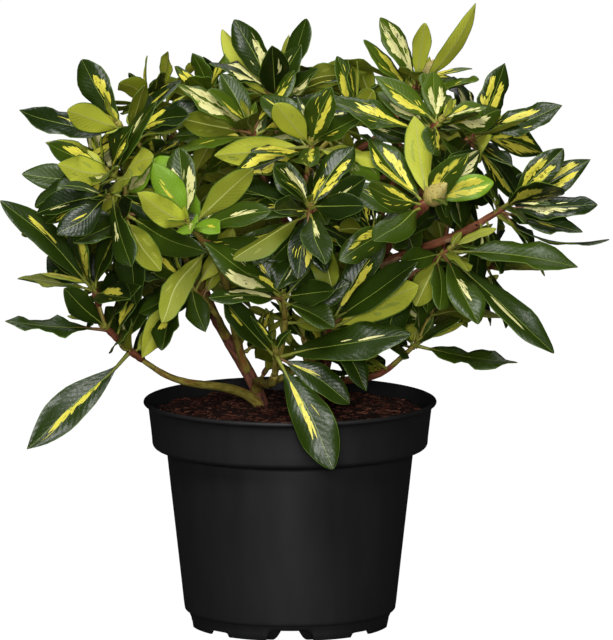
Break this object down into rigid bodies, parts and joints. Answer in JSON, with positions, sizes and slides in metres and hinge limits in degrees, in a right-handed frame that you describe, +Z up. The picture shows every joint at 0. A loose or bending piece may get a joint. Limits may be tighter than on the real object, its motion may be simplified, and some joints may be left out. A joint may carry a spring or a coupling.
{
  "type": "potted variegated rhododendron",
  "caption": "Low, wide evergreen shrub with whorls of long, yellow-splashed leathery leaves on several woody stems, growing in a round black plastic nursery pot.",
  "frame": {"origin": "middle of the pot's flat underside, on the surface that the pot stands on", "axes": "+Z up along the pot's axis, +X to the plant's right as seen from the front, -Y towards the front, where the lowest leaves hang over the rim"},
  "size_m": [0.478, 0.4024, 0.498],
  "materials": {
    "black_plastic": "satin black moulded polypropylene",
    "potting_soil": "moist fibrous peat and bark",
    "bark": "rough red-brown bark",
    "young_bark": "smooth olive-brown young bark",
    "foliage": "glossy dark green leaves splashed with yellow"
  },
  "bodies": {
    "root": {"pot": "black_plastic", "soil": "potting_soil", "main_stem": "bark", "second_stem": "bark", "rear_stem": "bark", "young_shoot": "young_bark", "low_left_bough": "young_bark", "left_skirt_bough": "young_bark", "upper_left_bough": "young_bark", "upper_left_back_bough": "young_bark", "left_fresh_bough": "young_bark", "left_inner_bough": "young_bark", "upper_centre_left_bough": "young_bark", "crown_top_bough": "young_bark", "top_centre_bough": "young_bark", "top_right_bough": "young_bark", "upper_right_front_bough": "young_bark", "right_shoulder_bough": "young_bark", "right_bud_bough": "young_bark", "far_right_bough": "young_bark", "right_low_bough": "young_bark", "low_right_bough": "young_bark", "centre_front_bough": "young_bark", "mid_right_bough": "young_bark", "centre_low_bough": "young_bark", "centre_right_low_bough": "young_bark", "back_left_bough": "young_bark", "back_left_low_bough": "young_bark", "back_centre_bough": "young_bark", "back_centre_low_bough": "young_bark", "back_right_bough": "young_bark", "back_right_low_bough": "young_bark", "low_left": "foliage", "left_skirt": "foliage", "upper_left": "foliage", "upper_left_back": "foliage", "left_fresh": "foliage", "left_inner": "foliage", "upper_centre_left": "foliage", "crown_top": "foliage", "top_centre": "foliage", "top_right": "foliage", "upper_right_front": "foliage", "right_shoulder": "foliage", "right_bud": "foliage", "far_right": "foliage", "right_low": "foliage", "low_right": "foliage", "centre_front": "foliage", "mid_right": "foliage", "rim": "foliage", "centre_low": "foliage", "centre_right_low": "foliage", "back_left": "foliage", "back_left_low": "foliage", "back_centre": "foliage", "back_centre_low": "foliage", "back_right": "foliage", "back_right_low": "foliage"}
  },
  "joints": []
}
